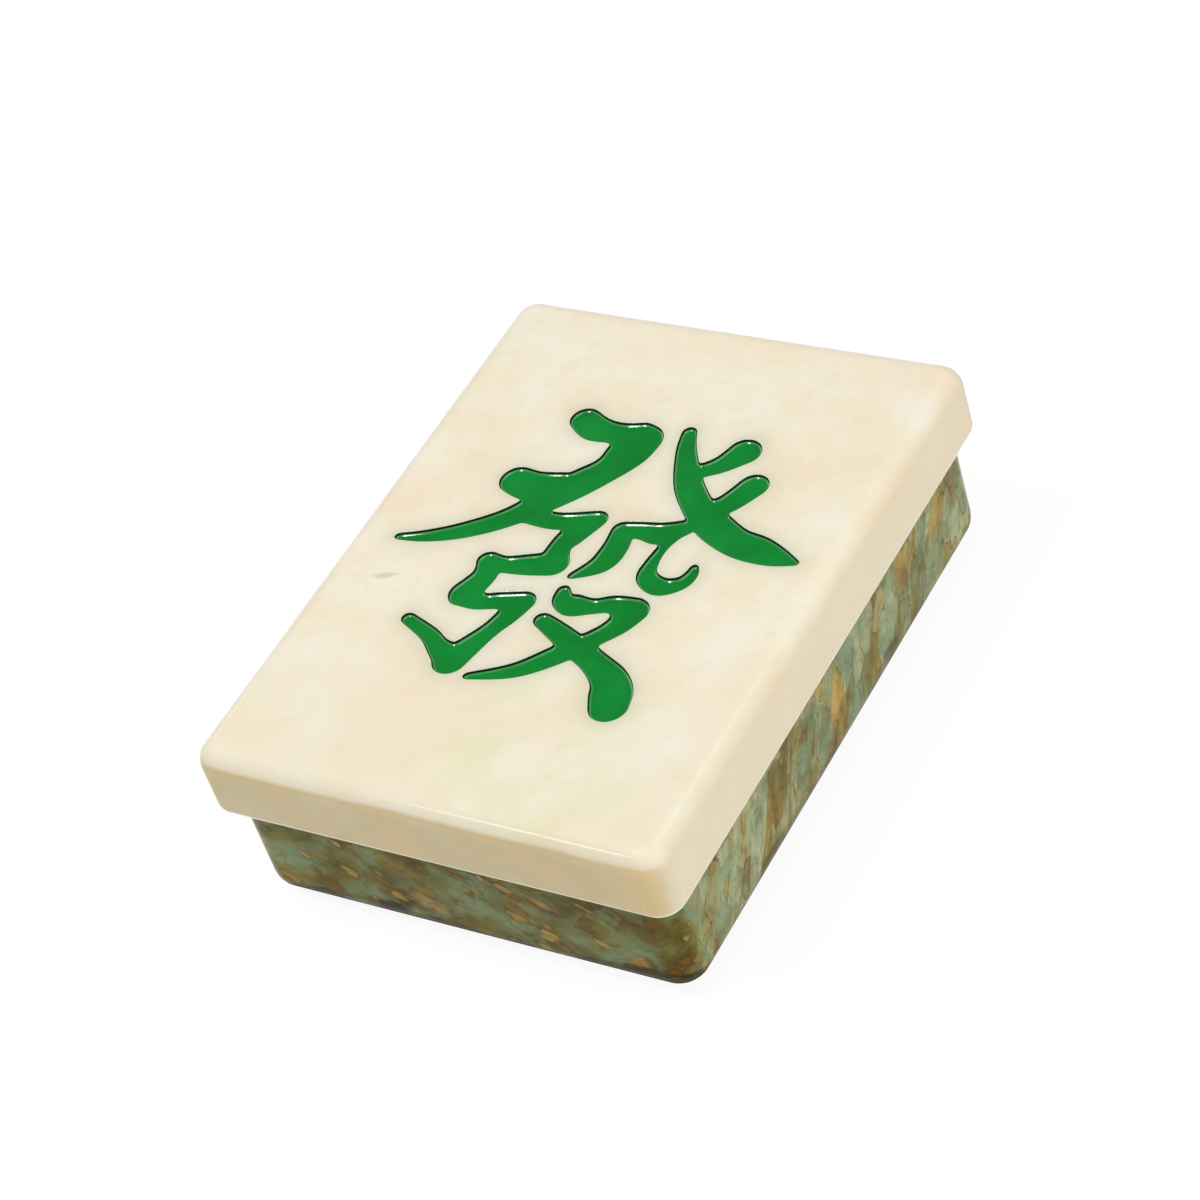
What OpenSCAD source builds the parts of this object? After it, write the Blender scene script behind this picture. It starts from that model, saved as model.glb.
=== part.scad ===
// Trinket box in the form of a game tile: a cream lid with an engraved, painted sign
// lifts off a hollow marbled base. X is the width, Y the length towards the top of the
// sign, Z up. The origin is on the ground under the middle of the box.

/* [Lid] */
// Width of the lid
lid_w = 76; // [64:1:100]
// Length of the lid
lid_l = 100.6; // [90:0.2:130]
// Thickness of the lid
lid_h = 12; // [8:0.5:18]
// Radius of the lid's upright corners
lid_corner_r = 3.8; // [3:0.1:8]
// Radius along the lid's top edge
lid_top_r = 3.4; // [0.5:0.1:5]
// Radius along the lid's bottom edge
lid_bottom_r = 1.5; // [0.5:0.1:3]

/* [Base] */
// How far the lid reaches past the base on each side
overhang = 2.1; // [1:0.1:4]
// Height of the base
base_h = 18.8; // [14:0.2:30]
// Radius of the base's upright corners
base_corner_r = 4.6; // [3:0.1:8]
// Radius along the base's bottom edge
base_bottom_r = 4.2; // [0.5:0.1:6]
// Thickness of the base's side walls
wall = 5.5; // [4:0.1:8]
// Thickness of the base's floor
floor_h = 4.8; // [3:0.1:7]
// Radius of the upright corners inside the base
cavity_r = 3; // [1.5:0.1:6]

/* [Lid locating plate] */
// How deep the plate under the lid drops into the base
plate_h = 4; // [2:0.5:6]
// Gap between the plate and the walls of the base
plate_gap = 0.4; // [0.3:0.05:1]
// Radius along the plate's lower edge
plate_edge_r = 0.6; // [0.2:0.1:1.2]

/* [Sign] */
// Space between the sign and the sides of the lid
sign_margin = 6.8; // [5:0.1:16]
// Depth of the engraving
engrave_depth = 1.2; // [0.8:0.1:3]
// How far the paint stays below the top of the lid
paint_drop = 0.5; // [0.2:0.05:0.7]

/* [Liner] */
// Thickness of the pad on the floor of the base
liner_h = 1.2; // [0.6:0.1:2.5]
// Gap between the pad and the walls of the base
liner_gap = 0.4; // [0.2:0.05:1.5]

/* [Feet] */
// Diameter of a foot
foot_d = 9; // [6:0.5:12]
// Height of a foot
foot_h = 1.4; // [1:0.1:3]
// Radius along the lower edge of a foot
foot_edge_r = 0.5; // [0.2:0.1:0.9]
// Space between a foot and the sides of the base
foot_inset = 5.5; // [5:0.5:12]

/* [Hidden] */
$fn = 96;

base_w = lid_w - 2 * overhang;
base_l = lid_l - 2 * overhang;
cavity_w = base_w - 2 * wall;
cavity_l = base_l - 2 * wall;

// Heights above the ground
floor_z = foot_h + floor_h;
rim_z = foot_h + base_h;
top_z = rim_z + lid_h;

// A tool passes this far beyond the face that it cuts
over = 1;
// Least flat that a fillet leaves beside it
fillet_land = 0.2;

// The sign is drawn for a figure this wide, then scaled to the lid
sign_reach = 62.4;
sign_scale = (lid_w - 2 * sign_margin) / sign_reach;
// Points between two stations of a stroke, and around half of its round end
brush_steps = 5;
tip_steps = 8;

// Brush strokes of the sign: each station is [x, y, half width]
sign_left_strokes = [
    // Head of the long left sweep
    [[-13.7, 25.9, 2.4], [-10.9, 24.4, 2.6], [-7.4, 24.2, 2.3], [-3.8, 24.1, 3.3]],
    // Long left sweep
    [[-2.9, 23.7, 3.4], [-3.7, 20.5, 3.6], [-5.1, 16.8, 2.9], [-9, 11.7, 3.1],
     [-14.4, 4.7, 2.2], [-20.1, 0.3, 1.8], [-25.3, -2.2, 1.3], [-29.7, -3.4, 0.7]],
    // Drop that joins the sweep
    [[-17.6, 11.6, 2.8], [-14.4, 11, 3.1], [-10.4, 12, 2.9]],
    // First bar of the bow and its turn down
    [[-12, 5.2, 1.6], [-7, 5.2, 1.8], [-1.5, 6.9, 1.8]],
    [[-1.5, 6.9, 1.8], [-3.5, 2.9, 2.2], [-4.2, 0.3, 1.9], [-3.6, -2.8, 2.6]],
    // Second bar of the bow and its turn down
    [[-13.5, -4.6, 1.8], [-10.9, -4.8, 1.7], [-6.9, -3.9, 2.2], [-3.8, -3, 2.4]],
    [[-13, -5.2, 1.9], [-12.5, -7.6, 2.1], [-13.6, -11.4, 2.5]],
    // Third bar of the bow, its leg and its hook
    [[-13.5, -11.6, 2.5], [-10.7, -12.4, 1.7], [-7.9, -11.6, 1.7], [-4.1, -10.8, 2]],
    [[-4.1, -10.8, 2], [-5, -14, 1.9], [-6.3, -17.5, 1.7], [-8.9, -23.9, 2.7]],
    [[-9.4, -23.3, 2.6], [-12.2, -21.8, 1.7], [-14.6, -20.1, 1.4], [-19.4, -18, 1.1]]
];
sign_right_strokes = [
    // Long right sweep
    [[3.6, 26.8, 1.2], [5, 23, 1.6], [8.5, 16.9, 2.2], [12.5, 12.5, 2.4], [16.2, 9.8, 2.8],
     [20.6, 7.6, 2.7], [24.6, 6.8, 2.7], [28.3, 6.1, 1.9], [31.4, 5.7, 0.6]],
    // Two short strokes that run into it
    [[13.7, 24.8, 2.7], [11.5, 21.6, 1.9], [8.8, 19.5, 1.5]],
    [[18.3, 18.6, 2.4], [16.1, 14.3, 2.1], [13.3, 12, 1.9]],
    // Bar with its two legs, the right one hooked
    [[3.3, 5.8, 1.7], [6.5, 6.4, 1.8], [9.5, 6.5, 2.3], [12.2, 8.3, 1.7]],
    [[3.3, 5.8, 1.7], [4, 2.5, 2.1], [3.5, -1.2, 2], [0.4, -4.5, 0.7]],
    [[12, 8, 1.4], [11.1, 4.5, 0.9], [10.8, 1, 1.1], [11.4, -1.9, 1.6],
     [14.2, -3.3, 1.8], [16.9, -2, 1.4], [17.6, 0, 1.1], [17.4, 1.4, 0.7]]
];
sign_lower_strokes = [
    // Bar that turns into the left leg
    [[0.7, -7.4, 1.1], [1.5, -9, 1.7], [3.6, -9.7, 2.2], [6.5, -9.2, 1.6], [9.3, -8.1, 1.8],
     [12.2, -8.5, 2.6]],
    [[12.5, -8.7, 2.7], [11.9, -11.5, 2.1], [10, -14.4, 1.8], [6, -19, 2],
     [1.3, -23.3, 1.5], [-4.9, -26, 0.7]],
    // Right leg
    [[0.5, -13.4, 1.4], [3.4, -14.7, 1.7], [7.5, -16.7, 2], [11.9, -18.9, 2.1],
     [15.4, -21.2, 2.7], [17.1, -23.6, 3.2], [18, -25.9, 3]]
];

// Station i of a stroke, held at its ends
function station(s, i) = s[max(0, min(len(s) - 1, i))];

// Catmull-Rom curve through the stations: t runs from 0 to 1 between stations i and i + 1
function curve_at(s, i, t) =
    let (a = station(s, i - 1), b = station(s, i), c = station(s, i + 1), d = station(s, i + 2))
    0.5 * (2 * b + (c - a) * t + (2 * a - 5 * b + 4 * c - d) * t * t + (3 * b - a - 3 * c + d) * t * t * t);

// A stroke's stations with the curve between them, scaled to the lid
function trail(s) = [
    for (i = [0 : len(s) - 2])
        for (k = [0 : brush_steps - 1])
            curve_at(s, i, k / brush_steps) * sign_scale,
    s[len(s) - 1] * sign_scale
];

// Direction of a trail at its point i, in degrees
function heading(p, i) =
    let (a = p[max(0, i - 1)], b = p[min(len(p) - 1, i + 1)])
    atan2(b[1] - a[1], b[0] - a[0]);

// Edge of a trail point's brush at a turn from the x axis
function brush_edge(q, turn) = [q[0] + q[2] * cos(turn), q[1] + q[2] * sin(turn)];

// Outline of a stroke: one side, the round end, the other side, the round start
function stroke_outline(s) =
    let (p = trail(s), last = len(p) - 1)
    concat(
        [for (i = [0 : last]) brush_edge(p[i], heading(p, i) + 90)],
        [for (k = [1 : tip_steps - 1]) brush_edge(p[last], heading(p, last) + 90 - 180 * k / tip_steps)],
        [for (i = [last : -1 : 0]) brush_edge(p[i], heading(p, i) - 90)],
        [for (k = [1 : tip_steps - 1]) brush_edge(p[0], heading(p, 0) - 90 - 180 * k / tip_steps)]
    );

// One island of the sign: its strokes run together
module sign_island(strokes) {
    for (s = strokes) polygon(stroke_outline(s));
}

// Corner left over when a round of radius r sits in a square corner at [x, y]; sx and sy point outwards
module spandrel(x, y, r, sx, sy) {
    difference() {
        translate([x - (sx > 0 ? r : over), y - (sy > 0 ? r : over)]) square(r + over);
        translate([x - sx * r, y - sy * r]) circle(r);
    }
}

// Section through the edge of a slab, from an inner line at x = 0 out to x = run
module edge_section(run, h, top_r, bottom_r) {
    difference() {
        square([run, h]);
        spandrel(run, h, top_r, 1, 1);
        spandrel(run, 0, bottom_r, 1, -1);
    }
}

// Slab with upright round corners and rounded top and bottom edges, standing on z = 0
module rounded_slab(w, l, h, corner_r, top_r, bottom_r) {
    top = min(top_r, corner_r - fillet_land, h / 2 - fillet_land);
    bottom = min(bottom_r, corner_r - fillet_land, h / 2 - fillet_land);
    mid_w = w - 2 * corner_r;
    mid_l = l - 2 * corner_r;
    translate([-mid_w / 2, -mid_l / 2, 0]) cube([mid_w, mid_l, h]);
    for (turn = [0, 180]) rotate(turn) {
        translate([mid_w / 2, mid_l / 2, 0]) rotate([90, 0, 0])
            linear_extrude(mid_l) edge_section(corner_r, h, top, bottom);
        translate([-mid_w / 2, mid_l / 2, 0]) rotate([90, 0, 90])
            linear_extrude(mid_w) edge_section(corner_r, h, top, bottom);
        translate([mid_w / 2, mid_l / 2, 0])
            rotate_extrude(angle = 90) edge_section(corner_r, h, top, bottom);
        translate([-mid_w / 2, mid_l / 2, 0]) rotate(90)
            rotate_extrude(angle = 90) edge_section(corner_r, h, top, bottom);
    }
}

// Upright prism on a rectangle with round corners
module rounded_prism(w, l, h, corner_r) {
    linear_extrude(h) {
        square([w - 2 * corner_r, l], center = true);
        square([w, l - 2 * corner_r], center = true);
        for (x = [-1, 1], y = [-1, 1])
            translate([x * (w / 2 - corner_r), y * (l / 2 - corner_r)]) circle(corner_r);
    }
}

module lid_slab() {
    color("#F1E8CF") difference() {
        translate([0, 0, rim_z]) rounded_slab(lid_w, lid_l, lid_h, lid_corner_r, lid_top_r, lid_bottom_r);
        translate([0, 0, top_z - engrave_depth]) linear_extrude(engrave_depth + over) {
            sign_island(sign_left_strokes);
            sign_island(sign_right_strokes);
            sign_island(sign_lower_strokes);
        }
    }
}

// Paint that lies in one island of the engraving
module paint(strokes) {
    color("#208C41") translate([0, 0, top_z - engrave_depth])
        linear_extrude(engrave_depth - paint_drop) sign_island(strokes);
}

module sign_left() { paint(sign_left_strokes); }

module sign_right() { paint(sign_right_strokes); }

module sign_lower() { paint(sign_lower_strokes); }

module lid_locating_plate() {
    color("#EDE3C8") translate([0, 0, rim_z - plate_h])
        rounded_slab(
            cavity_w - 2 * plate_gap, cavity_l - 2 * plate_gap, plate_h,
            cavity_r - plate_gap, 0, plate_edge_r
        );
}

module base_tray() {
    color("#7F8C74") difference() {
        translate([0, 0, foot_h]) rounded_slab(base_w, base_l, base_h, base_corner_r, 0, base_bottom_r);
        translate([0, 0, floor_z]) rounded_prism(cavity_w, cavity_l, base_h, cavity_r);
    }
}

module floor_liner() {
    color("#5F6E58") translate([0, 0, floor_z])
        rounded_prism(cavity_w - 2 * liner_gap, cavity_l - 2 * liner_gap, liner_h, cavity_r - liner_gap);
}

// Clear bumper stuck under one corner of the base; sx and sy choose the corner
module foot(sx, sy) {
    place_x = base_w / 2 - foot_inset - foot_d / 2;
    place_y = base_l / 2 - foot_inset - foot_d / 2;
    color("#DDE3E2") translate([sx * place_x, sy * place_y, 0])
        rotate_extrude() edge_section(foot_d / 2, foot_h, 0, foot_edge_r);
}

module foot_front_left() { foot(-1, -1); }

module foot_front_right() { foot(1, -1); }

module foot_back_left() { foot(-1, 1); }

module foot_back_right() { foot(1, 1); }

lid_slab();
sign_left();
sign_right();
sign_lower();
lid_locating_plate();
base_tray();
floor_liner();
foot_front_left();
foot_front_right();
foot_back_left();
foot_back_right();
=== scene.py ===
# %% [markdown]
# # A trinket box in the form of a game tile
#
# The box has a cream resin lid with an engraved green sign, and a hollow base of marbled resin.
# Its solids are already built at their real size; this lesson dresses them. It loads the solids as a
# fixed frame, works out each visible surface with numpy, and mixes a finish for each material.

# %% Frame and tools
import math

import bmesh
import bpy
import numpy as np
from mathutils import Matrix, Quaternion, Vector
from mathutils.geometry import delaunay_2d_cdt


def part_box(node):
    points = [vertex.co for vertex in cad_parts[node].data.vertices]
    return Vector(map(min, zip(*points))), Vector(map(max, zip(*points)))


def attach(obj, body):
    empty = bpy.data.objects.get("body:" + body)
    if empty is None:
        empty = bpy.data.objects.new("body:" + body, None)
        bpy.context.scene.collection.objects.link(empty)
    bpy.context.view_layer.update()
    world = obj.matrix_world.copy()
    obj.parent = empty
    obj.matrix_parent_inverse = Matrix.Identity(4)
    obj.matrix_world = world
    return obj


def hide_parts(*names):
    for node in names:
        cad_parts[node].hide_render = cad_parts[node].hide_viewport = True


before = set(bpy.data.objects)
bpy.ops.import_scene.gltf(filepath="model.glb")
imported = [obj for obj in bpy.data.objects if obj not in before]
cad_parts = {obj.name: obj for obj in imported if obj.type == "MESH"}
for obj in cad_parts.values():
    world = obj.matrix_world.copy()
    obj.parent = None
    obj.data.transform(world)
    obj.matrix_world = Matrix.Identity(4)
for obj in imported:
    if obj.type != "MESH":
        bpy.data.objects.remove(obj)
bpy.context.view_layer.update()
MM = 0.001
print("solids:", ", ".join(sorted(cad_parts)))

# %% [markdown]
# ## The camera
#
# The photograph looks down on the front right corner with the picture turned a little. Its angles,
# distance and focal length came from fitting the lid's and the base's outlines. They could be set by
# eye with a track-to constraint; building the camera's three axes keeps the turn of the picture exact.

# %% Camera
PHOTO_SIDE = 1200
FOCAL_PX = 3573
SENSOR_MM = 36
VIEW_AZIMUTH = math.radians(41.03)
VIEW_ELEVATION = math.radians(41.85)
VIEW_ROLL = math.radians(-18.84)
# Distance from the middle of the lid's underside, and the offset of the picture's centre, in lid widths
VIEW_DISTANCE = 6.774
VIEW_SIDESTEP = -0.0068
VIEW_RISE = 0.0245

lid_low, lid_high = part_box("lid_slab")
lid_width = lid_high.x - lid_low.x
lid_length = lid_high.y - lid_low.y

level_right = Vector((math.cos(VIEW_AZIMUTH), math.sin(VIEW_AZIMUTH), 0))
view_back = Vector((
    math.sin(VIEW_AZIMUTH) * math.cos(VIEW_ELEVATION),
    -math.cos(VIEW_AZIMUTH) * math.cos(VIEW_ELEVATION),
    math.sin(VIEW_ELEVATION),
))
level_up = view_back.cross(level_right)
view_right = level_right * math.cos(VIEW_ROLL) + level_up * math.sin(VIEW_ROLL)
view_up = level_up * math.cos(VIEW_ROLL) - level_right * math.sin(VIEW_ROLL)

camera_data = bpy.data.cameras.new("camera")
camera_data.sensor_width = SENSOR_MM
camera_data.lens = SENSOR_MM * FOCAL_PX / PHOTO_SIDE
camera = bpy.data.objects.new("camera", camera_data)
camera_place = Vector((0, 0, lid_low.z)) + lid_width * (
    view_back * VIEW_DISTANCE + view_right * VIEW_SIDESTEP + view_up * VIEW_RISE
)
camera_turn = Matrix((view_right, view_up, view_back)).transposed().to_4x4()
camera.matrix_world = Matrix.Translation(camera_place) @ camera_turn
bpy.context.scene.collection.objects.link(camera)
bpy.context.scene.camera = camera
print("camera lens", round(camera_data.lens, 1), "mm, at", [round(v, 3) for v in camera_place])

# %% [markdown]
# ## Sums on shader sockets
#
# A finish is a net of nodes. Writing each node by hand hides the idea, so `Wire` wraps a socket and lets
# Python's own operators add the Math nodes. `Net.node` makes every other kind of node in one way:
# its type, its settings, then the values or wires of its sockets.

# %% Wires
class Wire:
    """An output socket that takes part in sums: each operator adds one Math node."""

    def __init__(self, net, socket):
        self.net = net
        self.socket = socket

    def __add__(self, other):
        return self.net.math("ADD", self, other)

    def __sub__(self, other):
        return self.net.math("SUBTRACT", self, other)

    def __rsub__(self, other):
        return self.net.math("SUBTRACT", other, self)

    def __mul__(self, other):
        return self.net.math("MULTIPLY", self, other)

    def __neg__(self):
        return 0 - self

    def __abs__(self):
        return self.net.math("ABSOLUTE", self)

    __radd__ = __add__
    __rmul__ = __mul__


# %% Nets
class Net:
    """The nodes of a material or of the world, all made in one way."""

    def __init__(self, tree):
        self.tree = tree

    def feed(self, socket, value):
        """Links a wire to a socket, or sets the socket's own value."""
        if isinstance(value, Wire):
            self.tree.links.new(value.socket, socket)
        else:
            socket.default_value = value

    def node(self, kind, settings=None, inputs=None, output=0):
        """Adds a node of a type, applies its settings, feeds its sockets and returns one output."""
        made = self.tree.nodes.new(kind)
        for key, value in (settings or {}).items():
            if key == "stops":
                self.set_stops(made.color_ramp, value)
            else:
                setattr(made, key, value)
        for key, value in (inputs or {}).items():
            self.feed(made.inputs[key], value)
        return Wire(self, made.outputs[output])

    @staticmethod
    def set_stops(ramp, stops):
        """Replaces a ramp's two first stops by (position, colour) pairs."""
        ramp.elements.remove(ramp.elements[1])
        ramp.elements[0].position = stops[0][0]
        ramp.elements[0].color = stops[0][1]
        for position, colour in stops[1:]:
            ramp.elements.new(position).color = colour

    def math(self, operation, *values):
        return self.node("ShaderNodeMath", {"operation": operation}, dict(enumerate(values)))

    def mix(self, factor, first, second):
        """Mixes two colours by a factor."""
        inputs = {0: factor, 6: first, 7: second}
        return self.node("ShaderNodeMix", {"data_type": "RGBA"}, inputs, output=2)


# %% Finishes
class Finish(Net):
    """A material with one Principled shader, whose varying inputs are fed by wires."""

    def __init__(self, name, constants):
        self.material = bpy.data.materials.new(name)
        self.material.use_nodes = True
        super().__init__(self.material.node_tree)
        self.shader = self.tree.nodes["Principled BSDF"]
        for key, value in constants.items():
            self.feed(self.shader.inputs[key], value)

    def set(self, **wires):
        """Feeds the shader's inputs; an underscore in a name stands for a space."""
        for key, value in wires.items():
            self.feed(self.shader.inputs[key.replace("_", " ")], value)

    def place(self, stretch=(1, 1, 1), turn=(0, 0, 0), middle=(0, 0, 0)):
        """The point on the piece in millimetres from a middle, along axes that are turned by some
        degrees, each divided by its stretch so that a pattern there grows by it."""
        inputs = {
            "Vector": self.node("ShaderNodeTexCoord", output="Object"),
            "Location": [v * MM for v in middle],
            "Rotation": [math.radians(a) for a in turn],
            "Scale": [s * MM for s in stretch],
        }
        return self.node("ShaderNodeMapping", {"vector_type": "TEXTURE"}, inputs)

    def axis(self, vector, which):
        return self.node("ShaderNodeSeparateXYZ", None, {0: vector}, output=which)

    def marked(self, name):
        """The number that the piece's points carry under a name."""
        return self.node("ShaderNodeAttribute", {"attribute_name": name}, output="Fac")

    def vector(self, operation, *values, output=0):
        settings = {"operation": operation}
        return self.node("ShaderNodeVectorMath", settings, dict(enumerate(values)), output)

    def length(self, vector):
        return self.vector("LENGTH", vector, output="Value")

    def step(self, value, low, high):
        """A smooth step: 0 below low, 1 above high."""
        inputs = {"Value": value, "From Min": low, "From Max": high}
        return self.node("ShaderNodeMapRange", {"interpolation_type": "SMOOTHSTEP"}, inputs)

    def ramp(self, value, stops):
        return self.node("ShaderNodeValToRGB", {"stops": stops}, {0: value})

    def noise(self, place, scale, detail=3.0, rough=0.5, output="Fac"):
        """Soft noise with features of about 1 / scale millimetres."""
        inputs = {"Vector": place, "Scale": scale, "Detail": detail, "Roughness": rough}
        return self.node("ShaderNodeTexNoise", None, inputs, output)

    def cells(self, place, scale, feature="F1", output="Distance", **more):
        """Cells of about 1 / scale millimetres."""
        inputs = {"Vector": place, "Scale": scale, **more}
        return self.node("ShaderNodeTexVoronoi", {"feature": feature}, inputs, output)

    def warp(self, place, scale, amount):
        """Moves a place by a soft noise of the given scale, up to about the amount in millimetres."""
        drift = self.noise(place, scale, detail=2.0, output="Color")
        centred = self.vector("SUBTRACT", drift, (0.5, 0.5, 0.5))
        return self.vector("ADD", place, self.vector("MULTIPLY", centred, (2 * amount,) * 3))

    def bump(self, height, strength, distance_mm):
        inputs = {"Height": height, "Strength": strength, "Distance": distance_mm * MM}
        return self.node("ShaderNodeBump", None, inputs)


# %% Colours
def seen(red, green, blue):
    """Linear colour of a tint read off a screen as 0 to 255: the inverse of the sRGB curve."""
    tint = np.array([red, green, blue]) / 255
    linear = np.where(tint <= 0.04045, tint / 12.92, ((tint + 0.055) / 1.055) ** 2.4)
    return (*(float(v) for v in linear), 1.0)


print("cream seen as 243, 232, 210 is", [round(v, 3) for v in seen(243, 232, 210)])

# %% [markdown]
# ## The studio
#
# The photograph shows the box on pure white. The floor is a plain pale plane; a camera, mirror or glass
# ray sees most of it as white light, and the rest is the plain diffuse floor, which keeps the shadow.
# The lamps stay at a plain level, so that a colour renders about as it is written.

# %% Floor
FLOOR_SIDE = 4.0
FLOOR_GREY = (0.72, 0.72, 0.72, 1)
WHITE_SHARE = 0.85
WHITE_LEVEL = 1.08


def pale_light(net, white_share):
    """A share for the rays that look at the background, and 0 for the rays that light the box."""
    looks = net.node("ShaderNodeLightPath", output="Is Camera Ray")
    for kind in ("Is Glossy Ray", "Is Transmission Ray"):
        looks = net.math("MAXIMUM", looks, net.node("ShaderNodeLightPath", output=kind))
    return looks * white_share


half = FLOOR_SIDE / 2
floor_corners = [(-half, -half, 0), (half, -half, 0), (half, half, 0), (-half, half, 0)]
floor_mesh = bpy.data.meshes.new("floor")
floor_mesh.from_pydata(floor_corners, [], [(0, 1, 2, 3)])
floor = bpy.data.objects.new("floor", floor_mesh)
bpy.context.scene.collection.objects.link(floor)

floor_material = bpy.data.materials.new("pale_floor")
floor_material.use_nodes = True
floor_net = Net(floor_material.node_tree)
floor_net.tree.nodes.remove(floor_net.tree.nodes["Principled BSDF"])
floor_shader = floor_net.node("ShaderNodeMixShader", None, {
    0: pale_light(floor_net, WHITE_SHARE),
    1: floor_net.node("ShaderNodeBsdfDiffuse", None, {"Color": FLOOR_GREY}),
    2: floor_net.node("ShaderNodeEmission", None, {"Strength": WHITE_LEVEL}),
})
floor_net.feed(floor_net.tree.nodes["Material Output"].inputs["Surface"], floor_shader)
floor_mesh.materials.append(floor_material)
print("floor", FLOOR_SIDE, "m wide")

# %% World
WORLD_LIGHT = 0.25
WORLD_TINT = (1.0, 0.94, 0.84)
WHITE = (1, 1, 1, 1)

world = bpy.data.worlds.new("studio")
world.use_nodes = True
world_net = Net(world.node_tree)
room_light = (*(WORLD_LIGHT * v for v in WORLD_TINT), 1)
room_colour = world_net.mix(pale_light(world_net, 1.0), room_light, WHITE)
world_net.feed(world_net.tree.nodes["Background"].inputs["Color"], room_colour)
bpy.context.scene.world = world
bpy.context.scene.view_settings.view_transform = "Standard"
print("world light", WORLD_LIGHT)

# %% Lamps
LAMPS = [
    # name, direction from the box, distance in m, width and height in m, twist in degrees, watts
    ("key_softbox", (-0.27, -0.32, 0.91), 0.9, (0.08, 0.45), 54, 3.8),
    ("overhead_softbox", (0.30, 0.20, 0.93), 0.9, (0.60, 0.60), 0, 2.0),
    ("right_softbox", (0.95, -0.10, 0.35), 0.9, (0.60, 0.40), 0, 2.9),
    ("left_softbox", (-0.90, 0.20, 0.35), 0.9, (0.50, 0.40), 0, 0.6),
    ("front_strip", (-0.435, -0.604, 0.628), 0.9, (0.112, 0.06), 0, 0.24),
]
aim = Vector((0, 0, (lid_low.z + lid_high.z) / 2))
for name, direction, distance, (size_x, size_y), twist, watts in LAMPS:
    lamp_data = bpy.data.lights.new(name, "AREA")
    lamp_data.shape = "RECTANGLE"
    lamp_data.size = size_x
    lamp_data.size_y = size_y
    lamp_data.energy = watts
    lamp = bpy.data.objects.new(name, lamp_data)
    away = Vector(direction).normalized()
    lamp.location = aim + away * distance
    facing = away.to_track_quat("Z", "Y") @ Quaternion((0, 0, 1), math.radians(twist))
    lamp.rotation_euler = facing.to_euler()
    bpy.context.scene.collection.objects.link(lamp)
print("lamps:", ", ".join(row[0] for row in LAMPS))

# %% [markdown]
# ## Meshes from arrays
#
# Each surface below is an array of points and arrays of faces. One helper joins them, welds points that
# coincide, hangs the piece on an empty for the body it rides on, hides the solid it stands for, and gives
# it its finish. Two more read a mesh's points and store a number on each of them.

# %% Piece maker
WELD = 1e-7


def make_piece(name, patches, body, node, finish):
    """Joins (points, faces) patches into one welded, smooth piece that replaces a solid."""
    points = [np.reshape(p, (-1, 3)) for p, _ in patches]
    starts = np.cumsum([0] + [len(p) for p in points])
    faces = [row for (_, f), first in zip(patches, starts) for row in (np.asarray(f) + first).tolist()]
    mesh = bpy.data.meshes.new(name)
    mesh.from_pydata(np.concatenate(points).tolist(), [], faces)
    made = bmesh.new()
    made.from_mesh(mesh)
    bmesh.ops.remove_doubles(made, verts=made.verts, dist=WELD)
    made.to_mesh(mesh)
    made.free()
    mesh.shade_smooth()
    mesh.materials.append(finish.material)
    piece = bpy.data.objects.new(name, mesh)
    bpy.context.scene.collection.objects.link(piece)
    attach(piece, body)
    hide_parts(node)
    print(name, "has", len(mesh.polygons), "faces and", open_edges(mesh), "open edges")
    return piece


def open_edges(mesh):
    """The number of edges that don't have a face on each side."""
    edge_of_corner = np.empty(len(mesh.loops), dtype=np.int32)
    mesh.loops.foreach_get("edge_index", edge_of_corner)
    return np.count_nonzero(np.bincount(edge_of_corner, minlength=len(mesh.edges)) != 2)


def mesh_points(mesh):
    """The points of a mesh, as rows of x, y and z."""
    points = np.empty(len(mesh.vertices) * 3)
    mesh.vertices.foreach_get("co", points)
    return points.reshape(-1, 3)


def mark(piece, name, values):
    """Stores one number on each point, for a finish to read."""
    piece.data.attributes.new(name, "FLOAT", "POINT").data.foreach_set("value", values)


print("points closer than", WELD, "m are welded")

# %% [markdown]
# ## Slabs with round edges
#
# The lid and the base are both a section carried round a rectangle with round corners. A bevelled cube
# would do, but carrying the section keeps every radius exact. Each row of the section is a ring:
# how far it lies inside the outline, its height, and the radius of its corners.

# %% Ring surfaces
CORNER_STEPS = 14
EDGE_STEPS = 10
# Extra points this far from the end of a round keep the flats flat under smooth shading
SUPPORT = 0.25 * MM


def ring_points(width, length, rings):
    """A ring's corner point is the corner's centre plus radius times (cos a, sin a), with a going round
    a quarter turn at each corner, and one more point beside each end of the turn, along the straight
    side; the rings are (inset, height, corner radius) rows."""
    quarter = np.pad(np.linspace(0, math.pi / 2, CORNER_STEPS + 1), 1, mode="edge")
    beside = np.pad(np.zeros(CORNER_STEPS + 1), 1, constant_values=(-SUPPORT, SUPPORT))
    angle = np.concatenate([quarter + k * math.pi / 2 for k in range(4)])
    shift = np.tile(beside, 4)
    side_x = np.repeat([1, -1, -1, 1], len(quarter))
    side_y = np.repeat([1, 1, -1, -1], len(quarter))
    inset, height, radius = np.asarray(rings, float).T[:, :, None]
    x = side_x * (width / 2 - inset - radius) + radius * np.cos(angle) - shift * np.sin(angle)
    y = side_y * (length / 2 - inset - radius) + radius * np.sin(angle) + shift * np.cos(angle)
    return np.stack([x, y, np.broadcast_to(height, x.shape)], axis=-1)


def grid_faces(rows, columns):
    """Quads between neighbouring rows of a grid whose columns close on themselves."""
    row, column = np.meshgrid(np.arange(rows - 1), np.arange(columns), indexing="ij")
    here, beside = row * columns + column, row * columns + (column + 1) % columns
    return np.stack([here, beside, beside + columns, here + columns], axis=-1).reshape(-1, 4)


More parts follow.
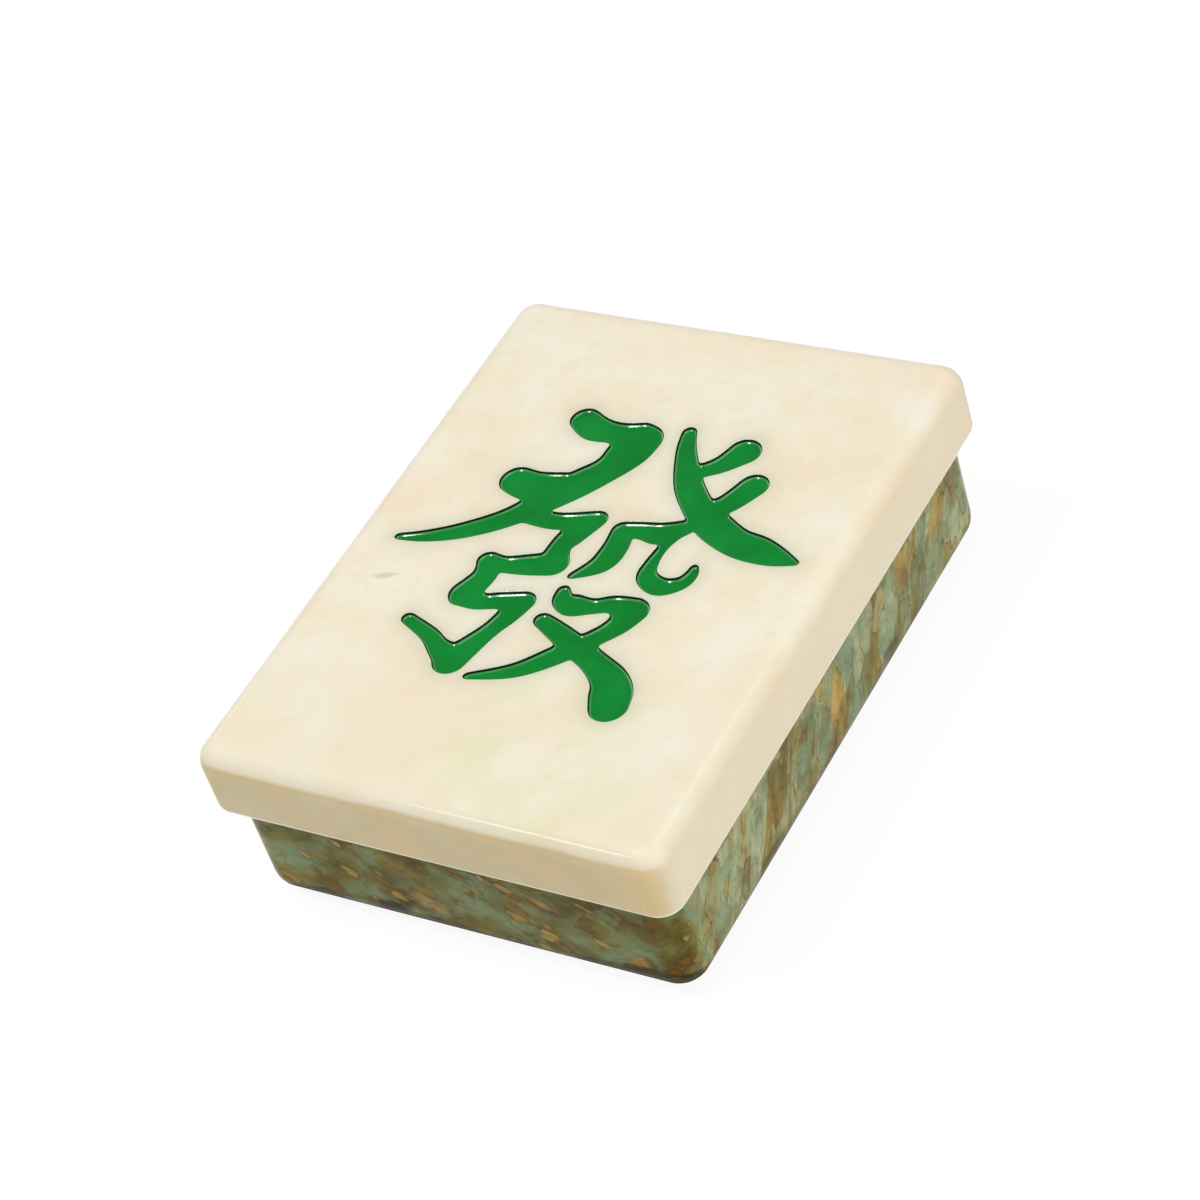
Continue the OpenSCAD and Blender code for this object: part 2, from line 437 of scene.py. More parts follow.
def edge_round(inset, height, radius, start_deg, end_deg):
    """Arc of a section: inset + radius * cos a and height + radius * sin a, between two angles."""
    a = np.radians(np.linspace(start_deg, end_deg, EDGE_STEPS + 1))
    return np.stack([inset + radius * np.cos(a), height + radius * np.sin(a)], axis=-1)


def with_corners(section, corner):
    """Adds the corner radius to (inset, height) rows: the outline's own radius less the inset."""
    section = np.asarray(section, float)
    return np.column_stack([section, corner - section[:, 0]])


def cap(columns, upwards):
    """One flat face that closes a ring."""
    face = np.arange(columns)
    return [face if upwards else face[::-1]]


print("a ring has", ring_points(1, 1, [[0, 0, 0.1]]).shape[1], "points")

# %% [markdown]
# ## The outline of the sign
#
# The three islands of paint are solids in the frame, so their outlines are read from there: the edges of
# the top face that belong to one triangle only. The engraved edges run on smoothly between their points,
# so each outline is refined by the four-point rule, which keeps corners sharp and passes through the
# points it was given. A last smoothing gives the corners the small round that a cutter leaves.

# %% Outline readers
ISLANDS = ["sign_left", "sign_right", "sign_lower"]


def top_outline(node):
    """Points of a solid's top edge in order, in metres: follow each edge to the next by doubling steps."""
    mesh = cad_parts[node].data
    mesh.calc_loop_triangles()
    corners = np.empty(len(mesh.loop_triangles) * 3, dtype=np.int32)
    mesh.loop_triangles.foreach_get("vertices", corners)
    unique, same = np.unique(np.round(mesh_points(mesh), 7), axis=0, return_inverse=True)
    triangles = same.reshape(-1)[corners.reshape(-1, 3)]
    top = triangles[(unique[triangles][:, :, 2] > unique[:, 2].max() - WELD).all(axis=1)]
    edges = np.concatenate([top[:, [0, 1]], top[:, [1, 2]], top[:, [2, 0]]])
    keys = np.sort(edges, axis=1) @ np.array([len(unique), 1])
    _, first, count = np.unique(keys, return_index=True, return_counts=True)
    rim = edges[first[count == 1]]
    follow = np.full(len(unique), -1)
    follow[rim[:, 0]] = rim[:, 1]
    order = rim[:1, 0]
    while len(order) < len(rim):
        order = np.concatenate([order, follow[order]])
        follow = np.where(follow >= 0, follow[follow], -1)
    return unique[order[:len(rim)], :2]


print("points on the solids' outlines:", [len(top_outline(island)) for island in ISLANDS])

# %% Outlines
CORNER_DEG = 46
REFINE_ROUNDS = 2
SPACING = 0.18 * MM
CUTTER = 0.42 * MM
CUTTER_POINTS = 6


def is_corner(loop):
    """True where a loop turns sharply: the angle between the edges into and out of a point is large."""
    into, out = loop - np.roll(loop, 1, axis=0), np.roll(loop, -1, axis=0) - loop
    turn = np.arctan2(into[:, 0] * out[:, 1] - into[:, 1] * out[:, 0], (into * out).sum(axis=1))
    return np.abs(turn) > math.radians(CORNER_DEG)


def refine(loop):
    """Four-point rule: a new point between b and c is (9 (b + c) - a - d) / 16; at a corner the far
    neighbour is replaced by the mirror of the near one, so the corner stays sharp."""
    back, ahead = np.roll(loop, 1, axis=0), np.roll(loop, -1, axis=0)
    corner = is_corner(loop)[:, None]
    before = np.where(corner, 2 * loop - ahead, back)
    after = np.where(np.roll(corner, -1, axis=0), 2 * ahead - loop, np.roll(loop, -2, axis=0))
    middle = (9 * (loop + ahead) - before - after) / 16
    return np.stack([loop, middle], axis=1).reshape(-1, 2)


def soften(loop):
    """Spaces the points evenly, then makes each one the mean of its neighbours, weighted by the bell
    curve exp(-s * s / 2) of their distance along the loop: corners get the round of the cutter."""
    closed = np.vstack([loop, loop[:1]])
    way = np.append(0, np.cumsum(np.linalg.norm(np.diff(closed, axis=0), axis=1)))
    even = np.linspace(0, way[-1], int(way[-1] / SPACING), endpoint=False)
    points = np.column_stack([np.interp(even, way, column) for column in closed.T])
    shift = np.arange(-CUTTER_POINTS, CUTTER_POINTS + 1)
    weight = np.exp(-((shift * SPACING / CUTTER) ** 2) / 2)
    return sum(w * np.roll(points, k, axis=0) for w, k in zip(weight / weight.sum(), shift))


def grow(loop, distance):
    """Moves a counter-clockwise outline outwards: each point goes along the sum of its edge normals."""
    along = np.roll(loop, -1, axis=0) - loop
    along /= np.linalg.norm(along, axis=1, keepdims=True)
    normal = np.column_stack([along[:, 1], -along[:, 0]])
    both = normal + np.roll(normal, 1, axis=0)
    reach = np.maximum((both * both).sum(axis=1, keepdims=True), 1.0)
    return loop + distance * 2 * both / reach


outlines = {}
for island in ISLANDS:
    outline = top_outline(island)
    for _ in range(REFINE_ROUNDS):
        outline = refine(outline)
    outlines[island] = soften(outline)
    print(island, "outline has", len(outlines[island]), "points")

# %% [markdown]
# ## Flat faces with holes
#
# The lid's top is a flat face with the sign cut out of it, and the paint is a field of points inside an
# outline. A constrained Delaunay triangulation fills both; triangles whose middle lies outside are
# dropped by the even-odd rule. The same outlines give the distance from a point to the nearest edge.

# %% Triangulation
MERGE = 1e-6
NO_POINTS = np.empty((0, 2))


def inside(points, loop):
    """Even-odd rule: a point is inside when a ray towards +x crosses the loop an odd number of times."""
    a, b = loop, np.roll(loop, -1, axis=0)
    low = points[:, None, 1] >= a[:, 1]
    spans = low != (points[:, None, 1] >= b[:, 1])
    rise = np.where(a[:, 1] == b[:, 1], 1.0, b[:, 1] - a[:, 1])
    cross = a[:, 0] + (points[:, None, 1] - a[:, 1]) * (b[:, 0] - a[:, 0]) / rise
    return (spans & (points[:, None, 0] < cross)).sum(axis=1) % 2 == 1


def fill(outer, holes, loose):
    """Triangles inside an outer loop and outside the holes, through some loose points; in metres."""
    loops = [outer, *holes]
    points = np.concatenate([*loops, loose]) / MM
    starts = np.cumsum([0] + [len(loop) for loop in loops])
    edges = np.concatenate([
        np.column_stack([np.arange(len(loop)), np.roll(np.arange(len(loop)), -1)]) + first
        for loop, first in zip(loops, starts)
    ])
    flat = list(map(Vector, points.tolist()))
    made, _, faces, _, _, _ = delaunay_2d_cdt(flat, edges.tolist(), [], 0, MERGE)
    made = np.array(made) * MM
    faces = np.array(faces)
    middle = made[faces].mean(axis=1)
    kept = inside(middle, outer)
    for hole in holes:
        kept &= ~inside(middle, hole)
    return made, faces[kept]


def at_height(flat, height):
    """Gives flat points a height, or one height each."""
    return np.column_stack([flat, np.broadcast_to(height, len(flat))])


unit_square = np.array([[0, 0], [1, 0], [1, 1], [0, 1]]) * MM
print("a square is filled with", len(fill(unit_square, [], NO_POINTS)[1]), "triangles")

# %% Distances
CHUNKS = 16
COARSE = 4


def wall_distance(points, loop):
    """Distance from each point to the nearest edge of a loop, worked out for some points at a time."""
    run = np.roll(loop, -1, axis=0) - loop
    near = []
    for some in np.array_split(points, CHUNKS):
        t = np.clip(((some[:, None] - loop) * run).sum(axis=2) / (run * run).sum(axis=1), 0, 1)
        near.append(np.linalg.norm(some[:, None] - loop - t[:, :, None] * run, axis=2).min(axis=1))
    return np.concatenate(near)


def sign_distance(points):
    """Distance from each point to the nearest edge of the whole sign, on coarser outlines."""
    return np.min([wall_distance(points, loop[::COARSE]) for loop in outlines.values()], axis=0)


print("the lid's middle is", round(sign_distance(np.zeros((1, 2)))[0] / MM, 2), "mm from the sign's edge")

# %% [markdown]
# ## Cream resin
#
# The lid is cast from pearly cream resin: soft clouds of warmer and paler cream, a breath of green near
# the front and a tan wisp, under a polish that shows in the bright lines on its edges. The pale line along
# the lower edge is partly a painted highlight, and the front and right sides carry painted warm shade.
# Clouds could be painted, but noise in the resin's own space runs through the edges as the real one does.

# %% Lid finish: clouds
# Places on the lid in millimetres
SIDE = lid_width / 2 / MM
FRONT = lid_length / 2 / MM
TOP = lid_high.z / MM
UNDER = lid_low.z / MM

cream = Finish("cream_resin", {
    "IOR": 1.5, "Specular IOR Level": 0.35, "Coat IOR": 3.2, "Coat Roughness": 0.05,
})
cream_place = cream.place()
cream_across, cream_along, cream_height = (cream.axis(cream_place, k) for k in range(3))
cream_drift = cream.warp(cream_place, 0.05, 5.0)
clouds = cream.noise(cream_drift, 0.06, detail=5.0, rough=0.6)
cream_colour = cream.ramp(clouds, [
    (0.32, seen(239, 225, 196)),
    (0.46, seen(240, 231, 207)),
    (0.56, seen(241, 234, 214)),
    (0.70, seen(243, 237, 222)),
])
fine = cream.noise(cream.warp(cream_place, 0.22, 2.5), 0.26, detail=5.0, rough=0.65)
warm_curls = cream.step(fine, 0.50, 0.68)
pale_curls = 1 - cream.step(fine, 0.32, 0.47)
cream_colour = cream.mix(warm_curls * 0.35, cream_colour, seen(233, 220, 190))
cream_colour = cream.mix(pale_curls * 0.35, cream_colour, seen(244, 239, 228))
blush = cream.step(cream.noise(cream.place(middle=(31, 12, 7)), 0.035, detail=4.0, rough=0.55), 0.48, 0.66)
cream_colour = cream.mix(blush * 0.5, cream_colour, seen(240, 221, 194))

# Painted shade: the top is darkened a little towards the front
painted_front_darkening = cream.step(-cream_along, 0, FRONT - 2.3)
cream_colour = cream.mix(painted_front_darkening * 0.3, cream_colour, seen(232, 224, 200))
print("cream resin has", len(cream.tree.nodes), "nodes for its clouds")

# %% Lid finish: green streaks and a wisp
GREEN_MIDDLE = (12, -37, TOP - 0.2)
GREEN_REACH = (24, 15, 30)
WISP_MIDDLE = (-27.3, -11.2, TOP - 0.2)
WISP_REACH = (2.6, 0.9, 3.0)

# A breath of green towards the front, in streaks that rise from the front edge
green_place = cream.place(stretch=GREEN_REACH, turn=(0, 0, -30), middle=GREEN_MIDDLE)
green_area = 1 - cream.step(cream.length(green_place), 0.35, 1.05)
green_run = cream.warp(cream.place(stretch=(1, 2.2, 1), turn=(0, 0, -35)), 0.10, 3.0)
green_streaks = cream.step(cream.noise(green_run, 0.13, detail=4.0), 0.40, 0.66)
cream_colour = cream.mix(green_area * green_streaks * 0.7, cream_colour, seen(226, 226, 182))

# One tan wisp beside the sign
wisp_place = cream.place(stretch=WISP_REACH, turn=(0, 0, 20), middle=WISP_MIDDLE)
wisp = 1 - cream.step(cream.length(cream.warp(wisp_place, 0.9, 0.35)), 0.3, 1.0)
cream_colour = cream.mix(wisp * 0.5, cream_colour, seen(200, 178, 136))
print("green towards", GREEN_MIDDLE[:2], "and a wisp at", WISP_MIDDLE[:2])

# %% Lid finish: sides
SEAM = TOP - 1.9
SEAM_HALF = 0.6

# The front side is painted yellower as warm shade, warmest at its right end; a soft brown line runs at its
# upper edge
front_height = cream_height + cream.noise(cream_place, 0.09, detail=4.0, rough=0.6) * 0.9
front_face = cream.step(-cream_along, FRONT - 2.9, FRONT - 0.1)
painted_front_warmth = cream.ramp(cream.noise(cream_drift, 0.10, detail=3.0), [
    (0.35, seen(232, 207, 163)),
    (0.52, seen(222, 207, 160)),
    (0.66, seen(229, 213, 174)),
])
right_end = cream.step(cream_across, SIDE - 12, SIDE - 3)
painted_front_warmth = cream.mix(right_end * 0.6, painted_front_warmth, seen(246, 218, 160))
below_seam = 1 - cream.step(front_height, SEAM, SEAM + 0.8)
cream_colour = cream.mix(front_face * below_seam, cream_colour, painted_front_warmth)
seam_rise = cream.step(front_height, SEAM - SEAM_HALF, SEAM)
seam_fall = 1 - cream.step(front_height, SEAM, SEAM + SEAM_HALF)
cream_colour = cream.mix(front_face * seam_rise * seam_fall * 0.22, cream_colour, seen(208, 178, 116))

# Painted warm shade: the right side is tinted a little warmer than the top
right_face = cream.step(cream_across, SIDE - 1.2, SIDE - 0.1)
cream_colour = cream.mix(right_face * 0.5, cream_colour, seen(242, 226, 188))
print("the front side's brown line lies", round(SEAM, 1), "mm up")

# %% Lid finish: edges
# A pale line along the lower edge: a painted highlight in the colour, with a strong coat in the same band;
# the plate under the lid lies further in and has none
outer_side = cream.step(abs(cream_across), SIDE - 4.5, SIDE - 3)
outer_end = cream.step(abs(cream_along), FRONT - 4.5, FRONT - 3)
lower_band = 1 - cream.step(cream_height, UNDER + 1.0, UNDER + 1.4)
painted_lower_highlight = lower_band * cream.math("MAXIMUM", outer_side, outer_end)
cream_colour = cream.mix(painted_lower_highlight * 0.8, cream_colour, seen(255, 251, 236))

# Round the sign the cream is darkened towards green, partly as painted shade round the engraving and
# partly as the paint's green showing through the resin; the corners are duller
cream_colour = cream.mix(cream.marked("stain") * 0.30, cream_colour, seen(120, 160, 134))
corner_side = cream.step(abs(cream_across), SIDE - 6, SIDE - 2.5)
corner_end = cream.step(abs(cream_along), FRONT - 5.8, FRONT - 2.3)
cream.set(
    Base_Color=cream_colour,
    Roughness=0.08 + clouds * 0.08 + corner_side * corner_end * 0.4,
    Coat_Weight=painted_lower_highlight,
)
print("cream resin has", len(cream.tree.nodes), "nodes")

# %% [markdown]
# ## The lid
#
# The lid is a slab with a large round along its top edge, a small one below, and the sign cut into its
# top. The cut's edge is not sharp on a polished casting, so a small quarter round runs along it before
# the wall drops to the floor of the engraving. Rings of points round the sign carry a faint green tint,
# partly painted shade round the engraving and partly green showing through the resin.

# %% Lid section
LID_CORNER = 3.8 * MM
LID_TOP_ROUND = 3.4 * MM
LID_BOTTOM_ROUND = 1.5 * MM

lid_section = np.concatenate([
    [[LID_BOTTOM_ROUND + SUPPORT, lid_low.z]],
    edge_round(LID_BOTTOM_ROUND, lid_low.z + LID_BOTTOM_ROUND, LID_BOTTOM_ROUND, 270, 180),
    [[0, lid_low.z + LID_BOTTOM_ROUND + SUPPORT], [0, lid_high.z - LID_TOP_ROUND - SUPPORT]],
    edge_round(LID_TOP_ROUND, lid_high.z - LID_TOP_ROUND, LID_TOP_ROUND, 180, 90),
    [[LID_TOP_ROUND + SUPPORT, lid_high.z]],
])
lid_rings = ring_points(lid_width, lid_length, with_corners(lid_section, LID_CORNER))
lid_top_edge = lid_rings[-1, :, :2]
print("the lid's section has", len(lid_section), "rows")

# %% Engraving
RIM_ROUND = 0.08 * MM
RIM_STEPS = 5

sign_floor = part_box("sign_left")[0].z


def engraved_edge(loop):
    """Quarter round from the lid's top down to the wall: outset r (1 - sin a), depth r (1 - cos a)."""
    a = np.linspace(0, math.pi / 2, RIM_STEPS + 1)
    outset = np.append(RIM_ROUND * (1 - np.sin(a)), 0)
    height = np.append(lid_high.z - RIM_ROUND * (1 - np.cos(a)), sign_floor)
    rows = [at_height(grow(loop, o), z) for o, z in zip(outset, height)]
    return np.stack(rows), grid_faces(len(rows), len(loop))


engraved = {island: engraved_edge(loop) for island, loop in outlines.items()}
print("the engraving is", round((lid_high.z - sign_floor) / MM, 2), "mm deep")

# %% Halo points
HALO_RINGS = np.array([0.35, 0.8, 1.4, 2.2, 3.2, 4.5, 6.0]) * MM
HALO_EVERY = 3
HALO_CLEAR = 0.9


def halo_ring(loop, distance):
    """Points round an outline at a distance, without those that come nearer to another edge."""
    ring = grow(loop, distance)[::HALO_EVERY]
    return ring[sign_distance(ring) > HALO_CLEAR * distance]


halo_points = np.concatenate([halo_ring(loop, d) for loop in outlines.values() for d in HALO_RINGS])
halo_points = halo_points[inside(halo_points, lid_top_edge)]
for loop in outlines.values():
    halo_points = halo_points[~inside(halo_points, loop)]
print(len(halo_points), "points carry the stain")

# %% Lid
HALO_REACH = 1.3 * MM

top_field, top_faces = fill(lid_top_edge, [rows[0, :, :2] for rows, _ in engraved.values()], halo_points)
lid_patches = [
    (lid_rings, grid_faces(*lid_rings.shape[:2])),
    (lid_rings[0], cap(len(lid_rings[0]), upwards=False)),
    (at_height(top_field, lid_high.z), top_faces),
    *engraved.values(),
]
for loop in outlines.values():
    pit, pit_faces = fill(loop, [], NO_POINTS)
    lid_patches.append((at_height(pit, sign_floor), pit_faces))
lid = make_piece("lid", lid_patches, "lid", "lid_slab", cream)
lid_points = mesh_points(lid.data)
near_top = lid_points[:, 2] > sign_floor - WELD
mark(lid, "stain", np.where(near_top, np.exp(-sign_distance(lid_points[:, :2]) / HALO_REACH), 0))

# %% [markdown]
# ## Green paint
#
# The paint was poured into the engraving and drew up at the walls before it set, so its level is flat in
# the middle of a stroke and climbs in a hollow curve beside the edges. That curve makes the bright lines
# inside each stroke. A flat fill with a bump would lose them at the edges; here the height is a function
# of the distance to the nearest wall.

# %% Paint finish
paint = Finish("green_paint", {
    "IOR": 1.5, "Specular IOR Level": 0.05, "Coat IOR": 1.6, "Coat Roughness": 0.13,
})
paint_place = paint.place()
pooling = paint.noise(paint.warp(paint_place, 0.15, 2.0), 0.12, detail=3.0)
paint_colour = paint.ramp(pooling, [
    (0.35, seen(8, 124, 42)),
    (0.65, seen(12, 138, 53)),
])

# The film on the wall is darkened, partly the film's own deeper green and partly painted shade for the
# shadow line along the edge, and the hollow below it shines; wall is 0 on the flat and 1 at the top
wall = paint.marked("wall")
paint_colour = paint.mix(paint.step(wall, 0.44, 0.64), paint_colour, seen(4, 32, 12))
shine = paint.step(wall, 0.25, 0.34) * (1 - paint.step(wall, 0.44, 0.54))
paint.set(
    Base_Color=paint_colour,
    Roughness=0.10 + pooling * 0.06,
    Coat_Weight=shine,
    Normal=paint.bump(paint.noise(paint_place, 0.25, detail=1.0), 0.12, 0.2),
)
print("green paint has", len(paint.tree.nodes), "nodes")

# %% Paint surface
SINK = 0.26 * MM
CLIMB_GAP = 0.08 * MM
HOLLOW_RISE = 0.45 * MM
HOLLOW_REACH = 0.42 * MM
FILM_REACH = 0.04 * MM
PAINT_RINGS = np.array([0.03, 0.06, 0.10, 0.16, 0.24, 0.34, 0.48, 0.68, 0.95]) * MM
PAINT_RING_CLEAR = 0.97
PAINT_STEP = 0.8 * MM

paint_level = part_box("sign_left")[1].z - SINK
paint_contact = lid_high.z - CLIMB_GAP


def paint_ring(loop, distance):
    """Points inside an outline at a distance from it, without those that come nearer to another edge."""
    ring = grow(loop, -distance)
    return ring[inside(ring, loop) & (wall_distance(ring, loop) > PAINT_RING_CLEAR * distance)]


def paint_surface(loop):
    """Height of the paint at a distance d from the wall: the level, plus a hollow curve that falls off
    as exp(-d / reach), plus a film on the wall that falls off faster in the same way."""
    low, high = loop.min(axis=0), loop.max(axis=0)
    across, along = (np.arange(lo, hi, PAINT_STEP) for lo, hi in zip(low, high))
    field = np.stack(np.meshgrid(across, along), axis=-1).reshape(-1, 2)
    field = field[inside(field, loop)]
    field = field[wall_distance(field, loop) > PAINT_RINGS[-1] + PAINT_STEP / 3]
    flat, faces = fill(loop, [], np.concatenate([*(paint_ring(loop, d) for d in PAINT_RINGS), field]))
    gap = wall_distance(flat, loop)
    hollow = HOLLOW_RISE * np.exp(-gap / HOLLOW_REACH)
    film = (paint_contact - paint_level - HOLLOW_RISE) * np.exp(-gap / FILM_REACH)
    return at_height(flat, paint_level + hollow + film), faces


print("the paint climbs", round((paint_contact - paint_level) / MM, 2), "mm at the walls")

# %% Paint
PAINT_SHRINK = 0.01 * MM

for island, loop in outlines.items():
    edge = grow(loop, -PAINT_SHRINK)
    skirt = np.stack([at_height(edge, sign_floor), at_height(edge, paint_contact)])
    below, below_faces = fill(edge, [], NO_POINTS)
    paint_patches = [
        paint_surface(edge),
        (skirt, grid_faces(2, len(edge))),
        (at_height(below, sign_floor), below_faces[:, ::-1]),
    ]
    piece = make_piece(island + "_paint", paint_patches, "lid", island, paint)
    climbed = (mesh_points(piece.data)[:, 2] - paint_level) / (paint_contact - paint_level)
    mark(piece, "wall", np.clip(climbed, 0, 1))

# %% [markdown]
# ## Marbled resin
#
# The base is cast from resin with teal, sage, olive and brown swirls, gold flecks and fine dark veins.
# Each layer is a noise or a set of cells in a place that a softer noise has stirred, so the swirls run
# round the corners as in a real casting.

# %% Base finish: swirls
base_low, base_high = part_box("base_tray")
# Places on the base in millimetres
BASE_FRONT = base_high.y / MM
BASE_UNDER = base_low.z / MM

marble = Finish("marbled_resin", {"IOR": 1.5, "Specular IOR Level": 0.05})
marble_place = marble.place()
marble_along = marble.axis(marble_place, 1)
near_front = marble.step(-marble_along, BASE_FRONT - 10.2, BASE_FRONT - 1.2)
near_end = marble.step(abs(marble_along), BASE_FRONT - 10.2, BASE_FRONT - 1.2)
swirl_place = marble.warp(marble.place(stretch=(1.5, 0.8, 1.0), turn=(-25, 0, 0)), 0.11, 3.5)
swirl = marble.noise(swirl_place, 0.15, detail=4.0, rough=0.55)
marble_colour = marble.ramp(swirl, [
    (0.34, seen(92, 78, 32)),
    (0.41, seen(108, 100, 44)),
    (0.46, seen(118, 116, 58)),
    (0.51, seen(120, 132, 80)),
    (0.62, seen(132, 156, 118)),
])
print("marbled resin has", len(marble.tree.nodes), "nodes for its swirls")

# %% Base finish: chips
CHIP_SCALE = 0.24
CHIP_TURN = (-27, 0, 0)

# Long cells that melt into each other, each of about one tint, with fine streaks along them
chip_place = marble.place(stretch=(1.6, 0.8, 1.9), turn=CHIP_TURN, middle=(3, 7, 2))
chip_place = marble.warp(marble.warp(chip_place, 0.09, 4.0), 0.30, 1.3)
chip_random = marble.cells(chip_place, CHIP_SCALE, feature="SMOOTH_F1", output="Color", Smoothness=0.22)
streak_place = marble.warp(marble.place(stretch=(1.6, 0.5, 3.0), turn=CHIP_TURN), 0.14, 3.0)
streak = marble.noise(streak_place, 0.34, detail=4.0, rough=0.58)
chip_tint = marble.ramp((marble.axis(chip_random, 0) - 0.5) * 1.15 + 0.30 + streak * 0.4, [
    (0.05, seen(156, 174, 138)),
    (0.25, seen(202, 208, 166)),
    (0.40, seen(192, 184, 126)),
    (0.53, seen(166, 140, 72)),
    (0.63, seen(138, 112, 52)),
    (0.74, seen(170, 186, 148)),
    (0.86, seen(202, 166, 88)),
    (0.97, seen(220, 180, 94)),
])
dark_streaks = marble.step(streak, 0.50, 0.72)
pale_streaks = 1 - marble.step(streak, 0.30, 0.46)
chip_tint = marble.mix(dark_streaks * 0.25, chip_tint, seen(84, 70, 30))
chip_tint = marble.mix(pale_streaks * 0.35, chip_tint, seen(196, 202, 160))

# The chips cover the swirls in patches, and some have a dark outline, which is fainter on the front and
# the back; fewer pale chips towards the front is partly the front's own pattern and partly painted shade
# that keeps the front darker than the right side
broken = marble.step(marble.noise(marble_place, 0.16, detail=4.0, rough=0.6), 0.38, 0.60)
chip_share = (0.35 + broken * 0.55) * (1 - near_front * 0.72)
marble_colour = marble.mix(chip_share, marble_colour, chip_tint)
chip_edge = marble.cells(chip_place, CHIP_SCALE, feature="DISTANCE_TO_EDGE")
outlined = (1 - marble.step(chip_edge, 0.0, 0.09)) * marble.step(streak, 0.49, 0.64)
marble_colour = marble.mix(outlined * (0.45 - near_end * 0.3), marble_colour, seen(64, 50, 20))
print("chips of about", round(1 / CHIP_SCALE, 1), "mm")

# %% Base finish: flecks
FLECKS = [
    # scale, share of the cells without a fleck, middle in millimetres
    (0.21, 0.10, (2, 8, 4)),
    (0.40, 0.30, (9, 1, 6)),
]

# Gold flecks of two sizes with a dark rim, away from the teal, and touches of rust
outside_teal = 1 - marble.step(swirl, 0.53, 0.58) * 0.8
for scale, bare_share, middle in FLECKS:
    fleck_place = marble.place(stretch=(1.7, 0.7, 0.8), turn=(-20, 25, 0), middle=middle)
    fleck_place = marble.warp(fleck_place, 0.45, 1.1)
    fleck_random = marble.cells(fleck_place, scale, output="Color")
    fleck_tone, fleck_size, fleck_chance = (marble.axis(fleck_random, k) for k in range(3))
    fleck_depth = fleck_size * 0.48 - marble.cells(fleck_place, scale)
    fleck_share = marble.step(fleck_chance, bare_share, bare_share + 0.03)
    fleck_share = fleck_share * outside_teal * (0.3 + near_front * 0.5)
    fleck_rim = fleck_share * marble.step(fleck_depth, -0.22, 0.0)
    marble_colour = marble.mix(fleck_rim * 0.5, marble_colour, seen(84, 58, 22))
    gold = marble.ramp(fleck_tone, [
        (0.10, seen(138, 94, 38)),
        (0.45, seen(182, 138, 62)),
        (0.80, seen(208, 174, 100)),
    ])
    marble_colour = marble.mix(fleck_share * marble.step(fleck_depth, -0.03, 0.16), marble_colour, gold)
rust = marble.step(marble.noise(swirl_place, 0.33, detail=3.0), 0.66, 0.74)
marble_colour = marble.mix(rust * 0.6, marble_colour, seen(112, 62, 30))
print("flecks of", len(FLECKS), "sizes")

# %% Base finish: veins and lower edge
veins = abs(marble.noise(marble.warp(swirl_place, 0.2, 2.0), 0.12, detail=3.0) - 0.5)
veins = 1 - marble.step(veins, 0.0, 0.03)
marble_colour = marble.mix(veins * 0.22, marble_colour, seen(64, 56, 28))

# Painted shade along the lower edge, darkest in front, its upper border broken by noise
height = marble.axis(marble_place, 2)
lower_shade_breakup = marble.noise(marble.place(stretch=(2.5, 2.5, 1)), 0.30, detail=4.0, rough=0.6)
painted_lower_shade = 1 - marble.step(height + lower_shade_breakup * 14.0, BASE_UNDER + 9.4, BASE_UNDER + 11.8)
marble_colour = marble.mix(painted_lower_shade * (0.5 + near_front * 0.35), marble_colour, seen(46, 34, 14))

# A fine grain over all, and a dull underside
grain = marble.noise(marble_place, 1.1, detail=4.0)
marble_colour = marble.mix(grain * 0.15, marble_colour, seen(84, 82, 48))
dull_foot = 1 - marble.step(height, BASE_UNDER + 2.0, BASE_UNDER + 3.6)
marble.set(Base_Color=marble_colour, Roughness=0.12 + grain * 0.10 + dull_foot * 0.6)
print("marbled resin has", len(marble.tree.nodes), "nodes")

# %% [markdown]
# ## The base
#
# The base is one casting: a rounded underside, upright walls, a flat rim that the lid rests on, and a
# cavity with softened inner corners. All of it is one section carried round the outline.

# %% Base
BASE_CORNER = 4.6 * MM
BASE_BOTTOM_ROUND = 4.2 * MM
BASE_WALL = 5.5 * MM
CAVITY_CORNER = 3.0 * MM
RIM_EASE = 0.4 * MM
CAVITY_FLOOR_ROUND = 0.35 * MM

liner_low, liner_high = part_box("floor_liner")
cavity_round = (BASE_WALL + CAVITY_FLOOR_ROUND, liner_low.z + CAVITY_FLOOR_ROUND)
outer_section = np.concatenate([
    [[BASE_BOTTOM_ROUND + SUPPORT, base_low.z]],
    edge_round(BASE_BOTTOM_ROUND, base_low.z + BASE_BOTTOM_ROUND, BASE_BOTTOM_ROUND, 270, 180),
    [[0, base_low.z + BASE_BOTTOM_ROUND + SUPPORT], [0, base_high.z - RIM_EASE - SUPPORT]],
    edge_round(RIM_EASE, base_high.z - RIM_EASE, RIM_EASE, 180, 90),
    [[RIM_EASE + SUPPORT, base_high.z]],
])
inner_section = np.concatenate([
    [[BASE_WALL - RIM_EASE - SUPPORT, base_high.z]],
    edge_round(BASE_WALL - RIM_EASE, base_high.z - RIM_EASE, RIM_EASE, 90, 0),
    [[BASE_WALL, base_high.z - RIM_EASE - SUPPORT], [BASE_WALL, cavity_round[1] + SUPPORT]],
    edge_round(*cavity_round, CAVITY_FLOOR_ROUND, 180, 270),
    [[cavity_round[0] + SUPPORT, liner_low.z]],
])
base_profile = np.concatenate([
    with_corners(outer_section, BASE_CORNER),
    with_corners(inner_section, BASE_WALL + CAVITY_CORNER),
])
base_rings = ring_points(base_high.x - base_low.x, base_high.y - base_low.y, base_profile)


